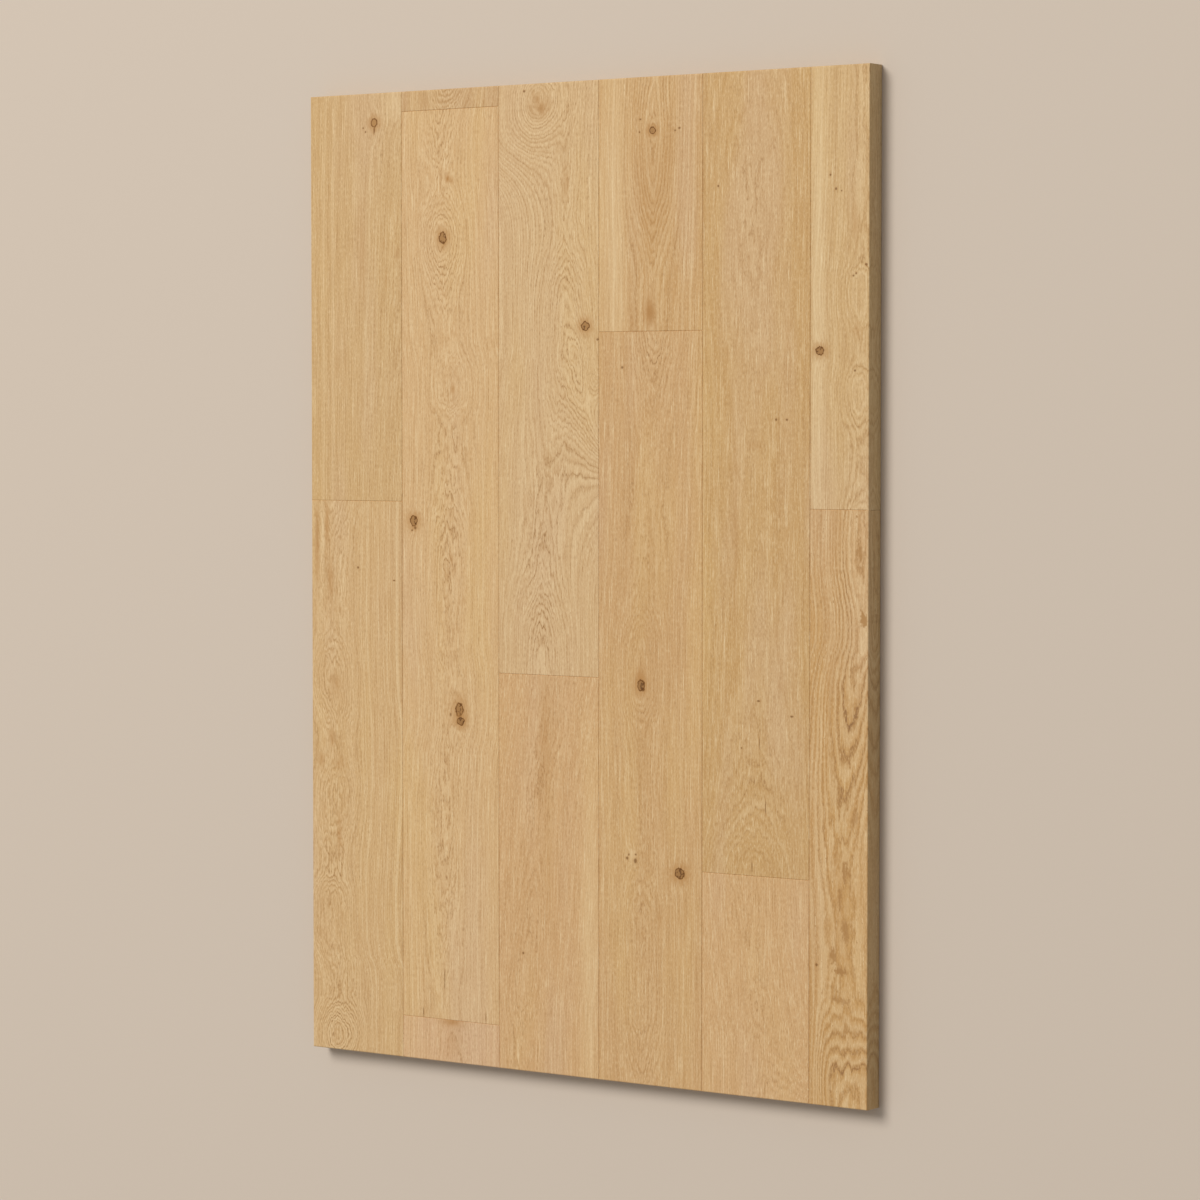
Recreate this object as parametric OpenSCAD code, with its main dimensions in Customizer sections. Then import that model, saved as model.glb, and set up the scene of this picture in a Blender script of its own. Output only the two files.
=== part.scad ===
// Panel of solid oak parquet planks: six courses with staggered end joints, squared off all round.
// It lies face up. X runs across the courses, Y along the planks and Z out of the face, and the
// origin is the middle of the underside. "Far" is the +Y end of a course and "near" the -Y end.

/* [Planks] */
// Laying width of a full plank, from joint to joint
plank_w = 120; // [90:1:200]
// Length of a full plank
plank_l = 900; // [720:1:1800]
// Thickness of every plank
plank_t = 22; // [18:0.5:30]

/* [Panel layout] */
// Width left of course 1 after its outer edge is ripped
first_course_w = 116.5; // [40:0.5:200]
// Width left of course 6 after its outer edge is ripped
last_course_w = 63.5; // [40:0.5:200]
// Length of the far plank in course 1
far_1 = 406; // [60:1:880]
// Length of the far offcut in course 2, before its full plank
far_2 = 20; // [10:1:200]
// Length of the near offcut in course 2, after its full plank
near_2 = 42; // [10:1:200]
// Length of the far plank in course 3
far_3 = 573; // [60:1:880]
// Length of the far plank in course 4
far_4 = 241; // [60:1:880]
// Length of the far plank in course 5
far_5 = 753; // [60:1:880]
// Length of the far plank in course 6
far_6 = 408; // [60:1:880]

/* [Long joints] */
// How far a tongue reaches past its plank's laying width
tongue_reach = 5; // [3:0.5:8]
// Thickness of a tongue
tongue_t = 6; // [4:0.5:8]
// Height of a tongue's lower face above the underside
tongue_z = 7; // [4:0.5:8]
// Size of the chamfer on a tongue's two corners
tongue_chamfer = 0.6; // [0.2:0.1:1.5]
// Clearance above a tongue, and again below it, in its groove
groove_clearance = 0.1; // [0.05:0.05:0.5]
// Gap between a tongue's tip and the floor of its groove
groove_floor_gap = 0.5; // [0.2:0.1:2]

/* [Edges] */
// Size of the 45 degree bevel along every joined edge of the face
micro_bevel = 0.6; // [0.2:0.1:1.5]
// Setback of one side of each joint behind the face, so that the face closes first
under_relief = 0.2; // [0.1:0.1:1]
// Depth below the face over which butted plank ends touch
end_contact = 4; // [2:0.5:10]
// Radius of the panel's eased outer edges
edge_r = 1.2; // [0.5:0.1:4]

/* [Hidden] */
full_courses = 4;
last_course = full_courses + 2;
panel_w = first_course_w + full_courses * plank_w + last_course_w;
panel_l = far_2 + plank_l + near_2;
far_edge = panel_l / 2;
near_edge = -panel_l / 2;
groove_low = tongue_z - groove_clearance;
groove_high = tongue_z + tongue_t + groove_clearance;
groove_depth = tongue_reach + groove_floor_gap;
// Flat facets in each eased edge's quarter round
edge_facets = 6;
// Extra length that carries one outline clear past the other before they are intersected
overrun = 2;

// Left edge of a course. The value for the course after the last is the panel's right edge.
function course_x(course) =
    course == 1 ? -panel_w / 2 :
    course > last_course ? panel_w / 2 :
    -panel_w / 2 + first_course_w + (course - 2) * plank_w;

// Quarter round about a centre, turning on from the angle start
function quarter_round(centre_x, centre_y, start) = [
    for (i = [0 : edge_facets])
        let (angle = start + i * 90 / edge_facets)
        [centre_x + edge_r * cos(angle), centre_y + edge_r * sin(angle)]
];

// Every outline below runs anticlockwise: up its right side, then down its left side.
function eased_right(x) = concat(
    quarter_round(x - edge_r, edge_r, -90),
    quarter_round(x - edge_r, plank_t - edge_r, 0)
);

function eased_left(x) = concat(
    quarter_round(x + edge_r, plank_t - edge_r, 90),
    quarter_round(x + edge_r, edge_r, 180)
);

function tongue_right(x) = [
    [x - under_relief, 0],
    [x - under_relief, tongue_z],
    [x + tongue_reach - tongue_chamfer, tongue_z],
    [x + tongue_reach, tongue_z + tongue_chamfer],
    [x + tongue_reach, tongue_z + tongue_t - tongue_chamfer],
    [x + tongue_reach - tongue_chamfer, tongue_z + tongue_t],
    [x, tongue_z + tongue_t],
    [x, plank_t - micro_bevel],
    [x - micro_bevel, plank_t]
];

function groove_left(x) = [
    [x + micro_bevel, plank_t],
    [x, plank_t - micro_bevel],
    [x, groove_high],
    [x + groove_depth, groove_high],
    [x + groove_depth, groove_low],
    [x, groove_low],
    [x, 0]
];

function relieved_butt_right(y) = [
    [y - under_relief, 0],
    [y - under_relief, plank_t - end_contact],
    [y, plank_t - end_contact],
    [y, plank_t - micro_bevel],
    [y - micro_bevel, plank_t]
];

function butt_left(y) = [
    [y + micro_bevel, plank_t],
    [y, plank_t - micro_bevel],
    [y, 0]
];

// Section across a course, in X and Z
function course_outline(course) = concat(
    course < last_course ? tongue_right(course_x(course + 1)) : eased_right(course_x(course + 1)),
    course > 1 ? groove_left(course_x(course)) : eased_left(course_x(course))
);

// Section along a plank, in Y and Z
function plank_outline(near, far) = concat(
    far < far_edge ? relieved_butt_right(far) : eased_right(far),
    near > near_edge ? butt_left(near) : eased_left(near)
);

// The plank of a course that lies between near and far: what its two sections have in common
module plank(course, near, far) {
    length = far - near;
    width = course_x(course + 1) - course_x(course) + tongue_reach;
    intersection() {
        translate([0, far + overrun, 0])
            rotate([90, 0, 0])
                linear_extrude(height = length + 2 * overrun)
                    polygon(course_outline(course));
        translate([course_x(course) - overrun, 0, 0])
            rotate([90, 0, 90])
                linear_extrude(height = width + 2 * overrun)
                    polygon(plank_outline(near, far));
    }
}

module plank_1_far() {
    color("#ceab7c") plank(1, far_edge - far_1, far_edge);
}

module plank_1_near() {
    color("#cca97a") plank(1, near_edge, far_edge - far_1);
}

module plank_2_far() {
    color("#cba77b") plank(2, far_edge - far_2, far_edge);
}

module plank_2_middle() {
    color("#d0ad7e") plank(2, near_edge + near_2, far_edge - far_2);
}

module plank_2_near() {
    color("#cba67e") plank(2, near_edge, near_edge + near_2);
}

module plank_3_far() {
    color("#d0af82") plank(3, far_edge - far_3, far_edge);
}

module plank_3_near() {
    color("#cca677") plank(3, near_edge, far_edge - far_3);
}

module plank_4_far() {
    color("#cca778") plank(4, far_edge - far_4, far_edge);
}

module plank_4_near() {
    color("#c9a374") plank(4, near_edge, far_edge - far_4);
}

module plank_5_far() {
    color("#c8a475") plank(5, far_edge - far_5, far_edge);
}

module plank_5_near() {
    color("#caa577") plank(5, near_edge, far_edge - far_5);
}

module plank_6_far() {
    color("#cead7f") plank(6, far_edge - far_6, far_edge);
}

module plank_6_near() {
    color("#c49f6f") plank(6, near_edge, far_edge - far_6);
}

plank_1_far();
plank_1_near();
plank_2_far();
plank_2_middle();
plank_2_near();
plank_3_far();
plank_3_near();
plank_4_far();
plank_4_near();
plank_5_far();
plank_5_near();
plank_6_far();
plank_6_near();
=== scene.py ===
"""Looks of the parquet panel: thirteen oak planks, a pale floor, soft studio light and the camera."""

from math import cos, radians, sin

import bpy
from mathutils import Matrix, Vector


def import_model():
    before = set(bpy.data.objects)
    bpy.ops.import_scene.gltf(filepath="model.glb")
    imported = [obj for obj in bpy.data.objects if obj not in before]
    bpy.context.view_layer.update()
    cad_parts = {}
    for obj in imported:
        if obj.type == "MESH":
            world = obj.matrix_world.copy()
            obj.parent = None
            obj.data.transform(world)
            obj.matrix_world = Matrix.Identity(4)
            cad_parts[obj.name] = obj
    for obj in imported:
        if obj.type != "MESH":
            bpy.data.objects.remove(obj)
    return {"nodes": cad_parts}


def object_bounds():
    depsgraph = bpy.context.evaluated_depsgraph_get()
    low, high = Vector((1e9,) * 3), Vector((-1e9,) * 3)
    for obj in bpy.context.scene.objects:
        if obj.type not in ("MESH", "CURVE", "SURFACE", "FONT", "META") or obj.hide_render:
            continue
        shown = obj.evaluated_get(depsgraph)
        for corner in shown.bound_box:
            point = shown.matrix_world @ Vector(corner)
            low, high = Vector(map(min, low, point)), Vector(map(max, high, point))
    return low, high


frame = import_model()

cad_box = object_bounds()
MM = 0.001

# ---------------------------------------------------------------------------------------------
# Node arithmetic
# ---------------------------------------------------------------------------------------------


class Value:
    """An output socket that can be added, multiplied and so on. Each operation adds a Math node."""

    def __init__(self, socket):
        self.socket = socket

    def __add__(self, other):
        return maths("ADD", self, other)

    def __sub__(self, other):
        return maths("SUBTRACT", self, other)

    def __mul__(self, other):
        return maths("MULTIPLY", self, other)

    def __truediv__(self, other):
        return maths("DIVIDE", self, other)


def new_node(terms, kind):
    """A node of this kind in the tree that the first Value among the terms is in."""
    tree = next(t for t in terms if isinstance(t, Value)).socket.id_data
    return tree.nodes.new(kind)


def feed(sockets, terms):
    """Links each Value to its input socket, and writes each plain number or tuple there."""
    for socket, term in zip(sockets, terms):
        if isinstance(term, Value):
            socket.id_data.links.new(term.socket, socket)
        else:
            socket.default_value = term


def maths(operation, *terms):
    """The result of a Math node."""
    node = new_node(terms, "ShaderNodeMath")
    node.operation = operation
    feed(node.inputs, terms)
    return Value(node.outputs[0])


def vectors(operation, *terms, output="Vector"):
    """The result of a Vector Math node."""
    node = new_node(terms, "ShaderNodeVectorMath")
    node.operation = operation
    feed(node.inputs, terms)
    return Value(node.outputs[output])


def components(vector):
    """The X, Y and Z of a vector."""
    node = new_node([vector], "ShaderNodeSeparateXYZ")
    feed(node.inputs, [vector])
    return [Value(output) for output in node.outputs]


def joined(x, y, z):
    """A vector with these components."""
    node = new_node([x, y, z], "ShaderNodeCombineXYZ")
    feed(node.inputs, [x, y, z])
    return Value(node.outputs["Vector"])


def ease(value, start, end):
    """0 before start, 1 after end and smooth between them. It falls where start is above end."""
    node = new_node([value], "ShaderNodeMapRange")
    node.interpolation_type = "SMOOTHSTEP"
    feed(node.inputs, [value, start, end])
    return Value(node.outputs["Result"])


def noise(place, size, detail=2.0, roughness=0.5):
    """Noise from 0 to 1 whose blotches have about this size in mm along X, Y and Z."""
    scaled = vectors("DIVIDE", place, size)
    node = new_node([scaled], "ShaderNodeTexNoise")
    inputs = [node.inputs[k] for k in ("Vector", "Scale", "Detail", "Roughness")]
    feed(inputs, [scaled, 1.0, detail, roughness])
    return Value(node.outputs["Fac"])


def wave(position):
    """Noise from 0 to 1 that depends on one number only, and waves about once for each 1 of it."""
    node = new_node([position], "ShaderNodeTexNoise")
    node.noise_dimensions = "1D"
    feed([node.inputs[k] for k in ("W", "Scale", "Detail")], [position, 1.0, 1.0])
    return Value(node.outputs["Fac"])


def chance(number):
    """A random value from 0 to 1 for each whole number."""
    node = new_node([number], "ShaderNodeTexWhiteNoise")
    node.noise_dimensions = "1D"
    feed([node.inputs["W"]], [number])
    return Value(node.outputs["Value"])


def tint(colour, factor, other):
    """colour where factor is 0, and other where it is 1."""
    node = new_node([factor], "ShaderNodeMix")
    node.data_type = "RGBA"
    inputs = [s for s in node.inputs if s.enabled]
    feed(inputs, [factor, rgba(colour), rgba(other)])
    return Value(next(s for s in node.outputs if s.enabled))


def rgba(colour):
    """The colour as a colour socket takes it."""
    return colour if isinstance(colour, Value) else (*colour, 1.0)


def curve(value, points):
    """A smooth curve through (position, height) points."""
    node = new_node([value], "ShaderNodeValToRGB")
    node.color_ramp.interpolation = "B_SPLINE"
    elements = node.color_ramp.elements
    while len(elements) < len(points):
        elements.new(0.5)
    for element, (position, height) in zip(elements, points):
        element.position = position
        element.color = (height, height, height, 1.0)
    feed(node.inputs, [value])
    return Value(node.outputs["Color"])


# ---------------------------------------------------------------------------------------------
# Oak
# ---------------------------------------------------------------------------------------------

FACE = cad_box[1].z / MM

GOLD = (0.66, 0.43, 0.17)
ROSE = (0.62, 0.42, 0.26)
CREAM = (0.82, 0.63, 0.37)
RING_BROWN = (0.41, 0.215, 0.075)
PORE_BROWN = (0.27, 0.14, 0.06)
HEART_RED = (0.44, 0.215, 0.065)
KNOT_FILL = (0.44, 0.235, 0.085)
KNOT_BROWN = (0.17, 0.066, 0.012)
KNOT_DARK = (0.09, 0.033, 0.008)
# Grey brown of unoiled sawn wood, darkened with painted shade of the sides
SAWN_GREY_AND_SHADE = (0.30, 0.275, 0.17)

# Sizes of the noises, in mm along X, Y and Z
WAVER_SIZE = (20, 120, 20)
JAG_SIZE = (4, 13, 4)
PATCH_SIZE = (20, 100, 20)
CLOUD_SIZE = (45, 260, 45)
PORE_SIZE = (1.0, 3.6, 1.0)
RAGGED_SIZE = (2.8, 3.6, 2.8)
# In mm through the rings, along the plank, and across the plank
FIBRE_SIZE = (2.2, 40, 1.1)

# How far a jag moves the rings, as a share of a waver
JAG_REACH = 0.3
# How far the rings wander beside the crown, as a share of how far they do over it
SIDE_WANDER = 0.22
# The rings bunch and spread, by up to DRIFT rings in waves of about DRIFT_RINGS rings
DRIFT = 1.6
DRIFT_RINGS = 7
# Rings in each of the broad pale and dark bands
BAND_RINGS = 2.2
# How strongly each part of one ring shows: its dark line of open pores, and its pale late wood
DARK_LINE = [(0.0, 0.9), (0.08, 1.0), (0.24, 0.3), (0.4, 0.0), (0.88, 0.0), (1.0, 0.75)]
PALE_WOOD = [(0.2, 0.0), (0.42, 1.0), (0.75, 0.2), (0.95, 0.0)]

# Where each part of a knot or a speck starts and where it is full, in half sizes from its middle
KNOT_HALO = (3.6, 0.8)
KNOT_RIM = (1.3, 1.05)
KNOT_HEART = (0.98, 0.78)
KNOT_CRACKS = (1.3, 1.1)
SPECK_HALO = (2.6, 0.6)
SPECK_HEART = (1.3, 0.5)

# The normal's Z where the face's oil starts and where it is full. The painted shade of the sides fades
# out over the same span.
OILED_UNSHADED_FROM = (0.3, 0.6)
# How much of the sawn grey the wood takes where there is no oil. It is partly the grey of unoiled sawn
# wood and partly painted shade on the sides.
SAWN_AND_SHADE_TINT = 0.35
SAWN_ROUGHNESS = 0.64
OIL_SMOOTHING = 0.14
SPECULAR = 0.14
BUMP_STRENGTH = 0.35
BUMP_DEPTH = 0.15 * MM


def spot(place, x, y, half_width, half_length):
    """Squared distance from an upright line at x, y, in units of the spot's half size."""
    scale = (1 / half_width, 1 / half_length, 0)
    offset = (-x / half_width, -y / half_length, 0)
    scaled = vectors("MULTIPLY_ADD", place, scale, offset)
    return vectors("DOT_PRODUCT", scaled, scaled, output="Value")


def hill(place, x, y, half_width, half_length):
    """1 at x, y, and falling to nothing about twice the half size away."""
    return maths("EXPONENT", spot(place, x, y, half_width, half_length) * -1.0)


def profile(position, places, heights):
    """A smooth curve through these heights at these places."""
    start, end = places[0], places[-1]
    low, high = min(heights), max(heights)
    rise = max(high - low, 1)
    share = (position - start) / (end - start)
    node = new_node([share], "ShaderNodeFloatCurve")
    points = node.mapping.curves[0].points
    while len(points) < len(places):
        points.new(0.5, 0.5)
    for point, place, height in zip(points, places, heights):
        point.location = ((place - start) / (end - start), (height - low) / rise)
        point.handle_type = "AUTO_CLAMPED"
    node.mapping.update()
    feed([node.inputs["Value"]], [share])
    return Value(node.outputs["Value"]) * rise + low


def growth(place, crown, crown_width, crown_radius, wander, swirls):
    """A height in mm whose level surfaces are the growth rings, and how near the crown is, from 0 to
    1. The rings run straight along the plank beside the crown's path, and close into arches and
    eyes over it."""
    x, y, z = components(place)
    along, centre, heights = zip(*crown)
    across = x - profile(y, along, centre)
    across_squared = across * across
    depth = z - FACE + crown_radius
    near_crown = maths("EXPONENT", across_squared / -crown_width ** 2)
    field = maths("SQRT", across_squared + depth * depth) + profile(y, along, heights) * near_crown
    waver = noise(place, WAVER_SIZE, detail=4.0, roughness=0.62) - 0.5
    jagged = noise(place, JAG_SIZE, detail=1.0) - 0.5
    reach = near_crown * wander + wander * SIDE_WANDER
    field = field + (waver + jagged * JAG_REACH) * reach
    for *where, rise in swirls:
        field = field + hill(place, *where) * rise
    return field, near_crown


def ring_figure(place, field, near_crown, ring, bold):
    """How strongly three things show: the rings' dark lines, the pale wood after each line, and the
    broad bands, which are pale above 0 and dark below it."""
    rings = field / ring + wave(field / (ring * DRIFT_RINGS)) * DRIFT
    phase = maths("FRACT", rings)
    # Each ring has a strength of its own. Most are weak.
    strength = chance(maths("FLOOR", rings))
    strength = strength * strength * 0.7 + 0.3
    patch = ease(noise(place, PATCH_SIZE, detail=1.0), 0.3, 0.62)
    emphasis = (patch * 0.5 + 0.5) * (near_crown * 0.6 + 0.4)
    for *where, amount in bold:
        emphasis = emphasis + hill(place, *where) * amount
    line = curve(phase, DARK_LINE) * (strength * emphasis)
    pale = curve(phase, PALE_WOOD) * maths("MINIMUM", emphasis, 1.0)
    band = wave(field / (ring * BAND_RINGS)) - 0.5
    return line, pale, band


def grained(colour, place, fibres, line, pale, band, contrast):
    """The colour with cloudy patches, fibres, bands and rings."""
    clouds = noise(place, CLOUD_SIZE, detail=1.0)
    colour = tint(colour, ease(clouds, 0.5, 0.75) * 0.35, GOLD)
    colour = tint(colour, ease(clouds, 0.5, 0.25) * 0.35, ROSE)
    colour = tint(colour, ease(fibres, 0.52, 0.75) * 0.64, CREAM)
    colour = tint(colour, ease(fibres, 0.48, 0.25) * 0.6, RING_BROWN)
    colour = tint(colour, maths("MAXIMUM", band, 0) * contrast, CREAM)
    colour = tint(colour, maths("MAXIMUM", band * -1.0, 0) * (0.8 * contrast), RING_BROWN)
    colour = tint(colour, pale * (0.36 * contrast), CREAM)
    return tint(colour, line * (0.62 * contrast), RING_BROWN)


def marked(colour, place, fibres, ragged, stains, blots):
    """The colour with soft stains, which are cream where they are below 0, and with ragged blots."""
    for *where, amount in stains:
        shade = hill(place, *where) * (fibres * 0.8 + 0.6)
        colour = tint(colour, shade * abs(amount), HEART_RED if amount > 0 else CREAM)
    for *where, amount in blots:
        edge = hill(place, *where) + fibres * 2.0 + ragged * 1.4
        colour = tint(colour, ease(edge, 1.45, 1.85) * amount, RING_BROWN)
    return colour


def knotted(colour, place, ragged, knots):
    """The colour with knots. Each has a halo, a dark rim and a heart of its own darkness, with
    cracks in it."""
    for *where, darkness in knots:
        distance = maths("SQRT", spot(place, *where)) + ragged * 1.1
        colour = tint(colour, ease(distance, *KNOT_HALO) * 0.6, HEART_RED)
        colour = tint(colour, ease(distance, *KNOT_RIM), KNOT_BROWN)
        colour = tint(colour, ease(distance, *KNOT_HEART) * (0.95 - 0.4 * darkness), KNOT_FILL)
        cracked = ease(ragged, 0.12 - 0.12 * darkness, 0.17 - 0.12 * darkness)
        colour = tint(colour, cracked * ease(distance, *KNOT_CRACKS) * 0.7, KNOT_DARK)
    return colour


def specked(colour, place, ragged, specks):
    """The colour with pin knots and short cracks."""
    nearest, *others = [spot(place, *where) for where in specks]
    for other in others:
        nearest = maths("MINIMUM", nearest, other)
    distance = maths("SQRT", nearest) + ragged * 0.8
    colour = tint(colour, ease(distance, *SPECK_HALO) * 0.25, HEART_RED)
    return tint(colour, ease(distance, *SPECK_HEART) * 0.7, KNOT_BROWN)


def oak(name, tone, crown, crown_width=26, crown_radius=7, swirls=(), knots=(), specks=(), stains=(),
        blots=(), bold=(), ring=3.0, wander=11.0, contrast=1.0):
    """Material of one plank. Places and sizes are in mm in the panel's frame. The crown is a path of
    (y, x, height). Swirls bend the rings, and bold places show them more strongly. Swirls, bold
    places, knots, stains and blots are (x, y, half width, half length, strength), and specks are
    (x, y, half width, half length)."""
    material = bpy.data.materials.new("oak_" + name)
    material.use_nodes = True
    tree = material.node_tree
    coordinates = tree.nodes.new("ShaderNodeTexCoord")
    place = vectors("MULTIPLY", Value(coordinates.outputs["Object"]), (1 / MM,) * 3)
    x, y, z = components(place)

    field, near_crown = growth(place, crown, crown_width, crown_radius, wander, swirls)
    line, pale, band = ring_figure(place, field, near_crown, ring, bold)
    # Fibres are long streaks along the plank that bend with the rings. Pores are short dashes.
    fibres = noise(joined(field, y, x + z), FIBRE_SIZE, detail=2.0, roughness=0.7)
    pits = noise(place, PORE_SIZE, detail=2.0)
    pores = ease(pits - line * 0.08, 0.47, 0.30)
    ragged = noise(place, RAGGED_SIZE, detail=2.5) - 0.5

    colour = grained(tone, place, fibres, line, pale, band, contrast)
    colour = tint(colour, ease(pits, 0.5, 0.7) * 0.25, CREAM)
    colour = tint(colour, pores * (line * 0.3 + 0.19), PORE_BROWN)
    colour = marked(colour, place, fibres, ragged, stains, blots)
    colour = knotted(colour, place, ragged, knots)
    if specks:
        colour = specked(colour, place, ragged, specks)

    # Only the face has oil. The sawn sides and underside are rougher, and greyer and darker: partly
    # unoiled sawn wood, partly painted shade of faces turned from the light.
    normal_z = components(Value(coordinates.outputs["Normal"]))[2]
    oiled_unshaded = ease(normal_z, *OILED_UNSHADED_FROM)
    colour = tint(colour, oiled_unshaded * -SAWN_AND_SHADE_TINT + SAWN_AND_SHADE_TINT, SAWN_GREY_AND_SHADE)
    grain_roughness = (fibres - 0.5) * 0.12 + pores * 0.08 + line * 0.06
    roughness = grain_roughness - oiled_unshaded * OIL_SMOOTHING + SAWN_ROUGHNESS

    bump = tree.nodes.new("ShaderNodeBump")
    bump.inputs["Strength"].default_value = BUMP_STRENGTH
    bump.inputs["Distance"].default_value = BUMP_DEPTH
    feed([bump.inputs["Height"]], [fibres * 0.25 + ease(pits, 0.30, 0.46) * 0.35])
    shader = tree.nodes["Principled BSDF"]
    shader.inputs["Specular IOR Level"].default_value = SPECULAR
    inputs = [shader.inputs[k] for k in ("Base Color", "Roughness", "Normal")]
    feed(inputs, [colour, roughness, Value(bump.outputs["Normal"])])

    slots = frame["nodes"][name].data.materials
    slots.clear()
    slots.append(material)


def panel():
    """Gives each plank the photo's kind of figure, with its knots and other marks in their places."""
    oak("plank_1_far", (0.58, 0.37, 0.165), ring=3.0, contrast=0.55, wander=9.0,
        crown_width=44, crown_radius=5,
        crown=[(75, -213, 0), (200, -212, 9), (330, -212, 17), (440, -210, 22), (481, -208, 22)],
        swirls=[(-248, 450, 9, 16, 7), (-206, 462, 20, 20, 10)],
        knots=[(-248, 451.5, 3.6, 3.8, 0.0)],
        specks=[(-262, 447, 1, 1), (-259, 443, 1, 1), (-248, 444, 1, 4)],
        stains=[(-264, 325, 4, 45, 0.25), (-236, 330, 2, 5, 0.3), (-220, 320, 3, 6, 0.3),
                (-233, 295, 2, 8, 0.3), (-222, 470, 14, 16, -0.3)],
        blots=[(-222, 212, 4, 8, 0.3), (-218, 322, 3, 10, 0.25), (-236, 280, 3, 12, 0.2),
               (-226, 150, 3, 10, 0.25)])
    oak("plank_1_near", (0.60, 0.38, 0.175), ring=2.8, wander=16.0, crown_width=30, crown_radius=10,
        crown=[(-481, -297, 16), (-440, -295, 16), (-418, -293, 11), (-380, -302, 4), (-335, -306, 0),
               (-292, -304, 14), (-225, -300, 3), (-172, -298, 12), (-105, -303, 0), (-45, -304, 13),
               (75, -303, 0)],
        swirls=[(-295, -466, 34, 32, -30)],
        bold=[(-303, -302, 20, 9, 1.6), (-305, -280, 14, 20, 0.8), (-295, -453, 30, 30, 1.1)],
        specks=[(-270, 8, 1.4, 1.2), (-224, -4, 1.5, 0.8)],
        stains=[(-310, 50, 2.5, 25, 0.6), (-323, 30, 3, 40, 0.6), (-306, -5, 3, 18, 0.5),
                (-316, 40, 2.5, 30, -0.35), (-300, -110, 8, 12, 0.35), (-305, -165, 4, 10, 0.45),
                (-318, -187, 4, 8, 0.5), (-295, -190, 7, 8, 0.35), (-295, -262, 3, 18, 0.5)],
        blots=[(-309, -332, 4, 9, 0.4), (-302, -104, 7, 5, 0.3), (-300, -165, 5, 8, 0.3),
               (-304, -285, 8, 8, 0.35), (-322, 45, 4, 25, 0.3), (-312, 5, 4, 18, 0.3)])
    oak("plank_2_far", (0.54, 0.33, 0.155), ring=2.6, wander=12.0,
        crown=[(461, -158, 14), (481, -156, 4)])
    oak("plank_2_middle", (0.63, 0.40, 0.19), ring=2.6, wander=14.0, contrast=0.8, crown_radius=12,
        crown=[(-439, -160, 15), (-300, -162, 9), (-180, -158, 4), (-110, -150, 5), (-60, -155, 2),
               (0, -155, 0), (150, -153, 18), (186, -151, 8), (215, -154, 12), (245, -160, 16),
               (300, -162, 12), (370, -165, 14), (415, -168, 8), (461, -165, 0)],
        swirls=[(-162, 335, 26, 34, -20), (-142, -134, 14, 20, -7), (-200, 54, 8, 11, 7)],
        knots=[(-162, 335, 3.9, 5, 0.4), (-199, 56, 4, 4.6, 0.5), (-142, -130, 4.2, 6, 0.6),
               (-140.5, -141, 4, 3.5, 0.8)],
        bold=[(-155, 95, 18, 60, 1.3), (-162, 300, 28, 45, 1.0), (-155, 20, 16, 30, 0.5),
              (-165, 420, 20, 30, 0.7), (-161, -255, 15, 90, 1.0)],
        specks=[(-197, 49, 1.9, 1.5), (-201, 46.5, 1.2, 0.9), (-153, -135, 0.9, 2),
                (-161, -400, 0.5, 12), (-188, -434, 0.5, 5), (-110, -433, 0.5, 6)],
        stains=[(-176, -70, 3, 14, 0.2), (-158, 5, 4, 8, 0.2), (-152, 20, 3, 4, 0.3),
                (-156, 393, 2.2, 3.5, 1.0), (-152, 391, 3.5, 3, 0.5), (-150, 186, 2.5, 4, 0.6)])
    oak("plank_2_near", (0.63, 0.39, 0.21), ring=3.0, contrast=0.6,
        crown=[(-481, -150, 4), (-439, -150, 10)],
        stains=[(-152, -440, 13, 5, 0.7), (-150, -462, 9, 20, 0.25)])
    oak("plank_3_far", (0.61, 0.40, 0.2), ring=2.6, contrast=0.8, crown_width=36,
        crown=[(-92, -42, 0), (-58, -42, 2), (80, -36, 27), (115, -32, 24), (200, -20, 8),
               (246, -13, 0), (350, -13, 18), (400, -12, 18), (481, -9, 16)],
        swirls=[(-112, 430, 62, 48, -50), (-112, 505, 62, 50, -50), (-46, 464, 30, 36, -32),
                (52, 160, 40, 52, -80), (50, 70, 40, 50, -22), (2, 202, 15, 40, -18),
                (24, 203, 9, 30, 9)],
        knots=[(10.5, 246, 4.2, 4, 0.4)],
        bold=[(-42, -40, 14, 30, 1.3), (-38, 30, 16, 40, 1.0), (-12, 290, 16, 60, 0.6),
              (8, 115, 30, 60, 0.8), (3, 205, 18, 34, 0.6), (-62, 350, 36, 90, 0.6),
              (-45, 455, 30, 30, 0.6)],
        specks=[(25, 233, 1.4, 1.2), (-62, 474, 1.4, 1.2)],
        stains=[(-12, 385, 4, 16, 0.3), (-42, 458, 14, 10, 0.3),
                (-41, 457, 3, 5, 0.45), (-46, 466, 2, 5, 0.45), (-51, 470, 1.5, 5, 0.35)],
        blots=[(-42, 456, 5, 5, 0.5), (-48, 466, 4, 4, 0.4), (-54, 457, 3, 5, 0.35)])
    oak("plank_3_near", (0.60, 0.36, 0.165), ring=2.8, contrast=0.55, crown_width=24,
        crown=[(-481, -66, 12), (-430, -66, 8), (-390, -62, 2), (-330, -55, 5), (-230, -46, 13),
               (-150, -32, 14), (-92, -20, 14)],
        bold=[(-42, -190, 15, 60, 0.9)],
        specks=[(-64, -365, 1.3, 1.3)],
        stains=[(-38, -150, 9, 70, 0.3), (-33, -270, 5, 70, 0.2), (16, -350, 11, 150, -0.26),
                (-60, -330, 14, 60, 0.12)])
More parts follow.
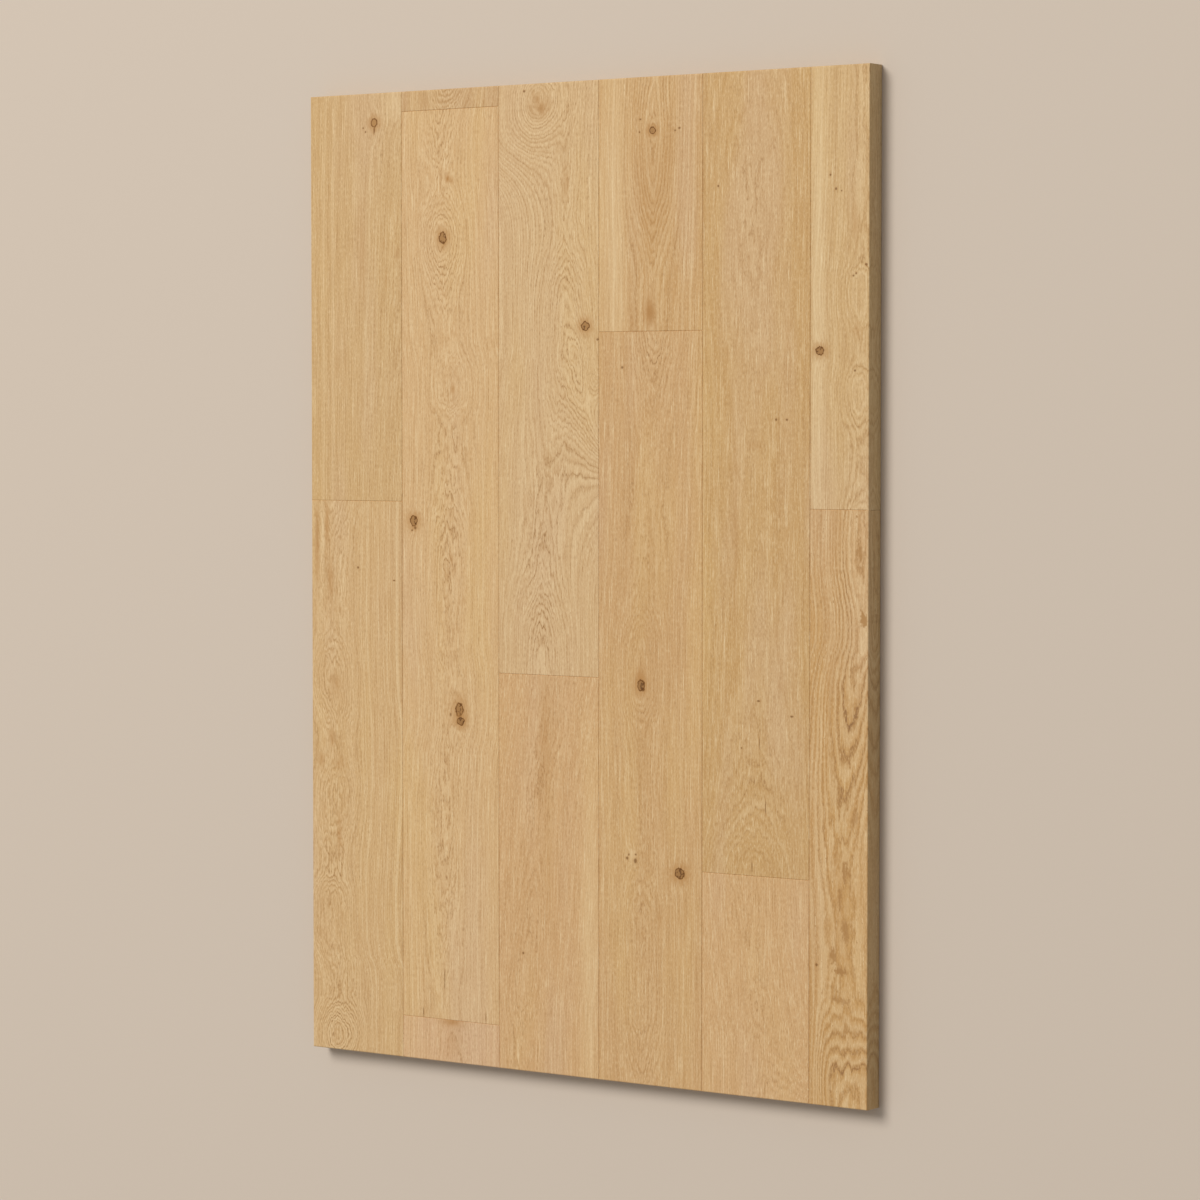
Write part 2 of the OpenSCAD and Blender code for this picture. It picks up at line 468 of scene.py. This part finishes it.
    oak("plank_4_far", (0.56, 0.33, 0.135), ring=2.8, wander=7.0, crown_width=30, crown_radius=5,
        crown=[(240, 88, 22), (270, 88, 22), (295, 89, 21), (430, 90, 0), (481, 92, 4)],
        swirls=[(90, 431, 7, 8, -4)],
        knots=[(89, 430, 3.3, 3.0, 0.4)],
        specks=[(75, 441, 1, 1), (74, 429, 1, 1), (115, 429, 1.2, 1), (120, 431, 1.4, 1)],
        stains=[(88, 365, 20, 62, 0.28), (86, 258, 6, 14, 0.9), (44, 340, 15, 190, -0.3),
                (66, 250, 4, 16, 0.3), (108, 410, 6, 30, 0.15)],
        blots=[(86, 257, 5, 12, 0.4)])
    oak("plank_4_near", (0.57, 0.34, 0.15), ring=2.8, contrast=0.62, crown_width=28,
        crown=[(-481, 77, 17), (-435, 77, 8), (-400, 78, 4), (-340, 78, 4), (-260, 78, 14),
               (-180, 76, 14), (-120, 76, 6), (-95, 76, 1), (-20, 78, 15), (30, 82, 18), (100, 84, 20),
               (160, 88, 16), (240, 92, 0)],
        bold=[(90, 220, 18, 30, 1.2)],
        swirls=[(121, -275, 8, 12, 6), (65, -263, 9, 10, 5)],
        knots=[(76, -97.5, 3.8, 4.6, 0.8), (121, -275, 5.0, 4.5, 0.8)],
        specks=[(54, 206, 1.4, 1.4), (60, -264, 1.5, 1.6), (62, -260.5, 1, 1.2), (69.5, -266, 2, 2.4),
                (70, -260, 1.1, 1)],
        stains=[(75.5, -88, 5, 8, 0.6), (65, -261, 5, 5, -0.35), (88, 35, 4, 30, 0.25),
                (98, -318, 3, 10, 0.35), (80, -60, 20, 150, 0.14), (124, -318, 6, 26, 0.18),
                (75, -335, 4, 6, 0.25)])
    oak("plank_5_far", (0.55, 0.33, 0.13), ring=3.0, contrast=0.6, crown_width=55, crown_radius=30,
        crown=[(-272, 204, 0), (-90, 208, 33), (60, 208, 34), (225, 207, 30), (300, 205, 27),
               (380, 205, 25), (440, 205, 28), (481, 206, 32)],
        bold=[(206, -170, 30, 45, 0.8)],
        specks=[(164, 375, 1.2, 1.2), (229, 156, 1.2, 1.2), (241, 156, 1.4, 1.2), (210, -107, 2, 1),
                (247, -120, 2, 1), (191, -152, 1, 1), (211, -147, 0.5, 6), (218, -206, 0.5, 7),
                (203, -264, 0.5, 6)],
        stains=[(204, 132, 9, 4, 0.25), (184, 30, 3, 120, 0.2)])
    oak("plank_5_near", (0.61, 0.37, 0.17), ring=2.8, contrast=0.5, crown_width=20,
        crown=[(-481, 218, 10), (-440, 218, 12), (-400, 212, 7), (-360, 205, 12), (-310, 197, 10),
               (-272, 195, 4)],
        swirls=[(285, -500, 45, 48, -50)])
    oak("plank_6_far", (0.59, 0.38, 0.17), ring=3.0, crown_width=20,
        crown=[(73, 322, 2), (130, 320, 12), (181, 320, 0), (215, 322, 9), (235, 322, 8), (272, 320, 1),
               (300, 322, 9), (350, 326, 12), (481, 330, 10)],
        swirls=[(277, 220, 8, 12, 6)],
        knots=[(277, 219.5, 4.0, 3.5, 0.6)],
        specks=[(288, 381, 1.1, 1.1), (294, 368, 1.3, 1.3), (300, 366, 0.8, 0.8), (313, 288, 1.1, 1.1),
                (316, 290, 1, 1), (327, 298, 1.5, 1.2), (315, 201, 1.1, 1.1)],
        stains=[(275, 280, 8, 260, -0.32), (315, 335, 3, 16, 0.4), (317, 238, 4, 8, 0.25)])
    oak("plank_6_near", (0.54, 0.30, 0.105), ring=3.7, wander=9.0, contrast=1.2, crown_width=30,
        crown_radius=12,
        crown=[(-481, 310, 2), (-460, 310, 6), (-440, 310, 10), (-420, 310, 14), (-400, 309, 17),
               (-378, 308, 20), (-345, 306, 21), (-300, 304, 21), (-255, 301, 20), (-215, 303, 17),
               (-183, 305, 14), (-153, 308, 10), (-100, 313, 4), (-65, 320, 2), (-30, 327, 0),
               (0, 324, -3), (34, 322, -6), (73, 322, -4)],
        swirls=[(288, -445, 14, 45, -10), (332, -445, 14, 45, -10)],
        specks=[(275, -350, 1.6, 1.6)],
        bold=[(312, -125, 18, 45, 1.6), (303, -205, 16, 45, 1.2), (307, -440, 26, 40, 1.0),
              (304, -10, 10, 50, 1.0), (275, -250, 10, 200, 0.7)],
        blots=[(306, -262, 6, 13, 0.9), (300, -286, 2.5, 14, 0.9), (306, -316, 5, 14, 0.8),
               (293, -340, 5, 10, 0.9), (302, -354, 11, 5, 1.0), (321, 34, 4, 9, 0.7),
               (325, -28, 6, 8, 0.9), (316, -212, 5, 12, 0.6), (303, -382, 10, 4, 0.7)],
        stains=[(303, -300, 12, 60, 0.2)])


# ---------------------------------------------------------------------------------------------
# Stage
# ---------------------------------------------------------------------------------------------

FLOOR_SIZE = 18.0
FLOOR_GAP = 0.1 * MM
FLOOR_COLOUR = (0.60, 0.505, 0.41)
FLOOR_ROUGHNESS = 0.9
SKYLIGHT = (0.38, 0.38, 0.38)
BACKDROP = (0.68, 0.575, 0.47)
KEY_PLACE = (-3.0, 5.2, 9.2)
KEY_SIZE = 5.5
KEY_POWER = 930
LENS = 120.0
VIEW_DISTANCE = 3.845
VIEW_YAW = radians(35.4)
VIEW_PITCH = radians(2.53)
AIM = Vector((0.028, -0.017, cad_box[1].z))


def floor():
    """A plain pale floor just under the panel."""
    material = bpy.data.materials.new("floor")
    material.use_nodes = True
    shader = material.node_tree.nodes["Principled BSDF"]
    shader.inputs["Base Color"].default_value = (*FLOOR_COLOUR, 1.0)
    shader.inputs["Roughness"].default_value = FLOOR_ROUGHNESS
    half = FLOOR_SIZE / 2
    mesh = bpy.data.meshes.new("floor")
    corners = [(-half, -half, 0), (half, -half, 0), (half, half, 0), (-half, half, 0)]
    mesh.from_pydata(corners, [], [(0, 1, 2, 3)])
    mesh.materials.append(material)
    ground = bpy.data.objects.new("floor", mesh)
    ground.location.z = cad_box[0].z - FLOOR_GAP
    bpy.context.scene.collection.objects.link(ground)


def key_light():
    """A large round softbox that faces the panel."""
    light = bpy.data.lights.new("key", "AREA")
    light.shape = "DISK"
    light.size = KEY_SIZE
    light.energy = KEY_POWER
    lamp = bpy.data.objects.new("key", light)
    lamp.location = KEY_PLACE
    lamp.rotation_euler = (-Vector(KEY_PLACE)).to_track_quat("-Z", "Y").to_euler()
    bpy.context.scene.collection.objects.link(lamp)


def world():
    """Even light from all round, and a pale backdrop where the camera or a reflection sees past
    the floor."""
    surroundings = bpy.data.worlds.new("studio")
    surroundings.use_nodes = True
    tree = surroundings.node_tree
    background = tree.nodes["Background"]
    rays = tree.nodes.new("ShaderNodeLightPath")
    camera_ray, glossy_ray, transmission_ray = [
        Value(rays.outputs[f"Is {kind} Ray"]) for kind in ("Camera", "Glossy", "Transmission")
    ]
    seen = maths("MAXIMUM", camera_ray, maths("MAXIMUM", glossy_ray, transmission_ray))
    feed([background.inputs["Color"]], [tint(SKYLIGHT, seen, BACKDROP)])
    background.inputs["Strength"].default_value = 1.0
    bpy.context.scene.world = surroundings


def camera():
    """The camera, at the photo's angle to the face. The image's up is the panel's +Y."""
    lens = bpy.data.cameras.new("camera")
    lens.lens = LENS
    view = bpy.data.objects.new("camera", lens)
    back = Vector((sin(VIEW_YAW) * cos(VIEW_PITCH), sin(VIEW_PITCH), cos(VIEW_YAW) * cos(VIEW_PITCH)))
    right = Vector((0, 1, 0)).cross(back).normalized()
    axes = Matrix((right, back.cross(right), back)).transposed()
    view.matrix_world = Matrix.Translation(AIM + back * VIEW_DISTANCE) @ axes.to_4x4()
    bpy.context.scene.collection.objects.link(view)
    bpy.context.scene.camera = view


panel()
floor()
key_light()
world()
camera()
bpy.context.scene.view_settings.view_transform = "Standard"
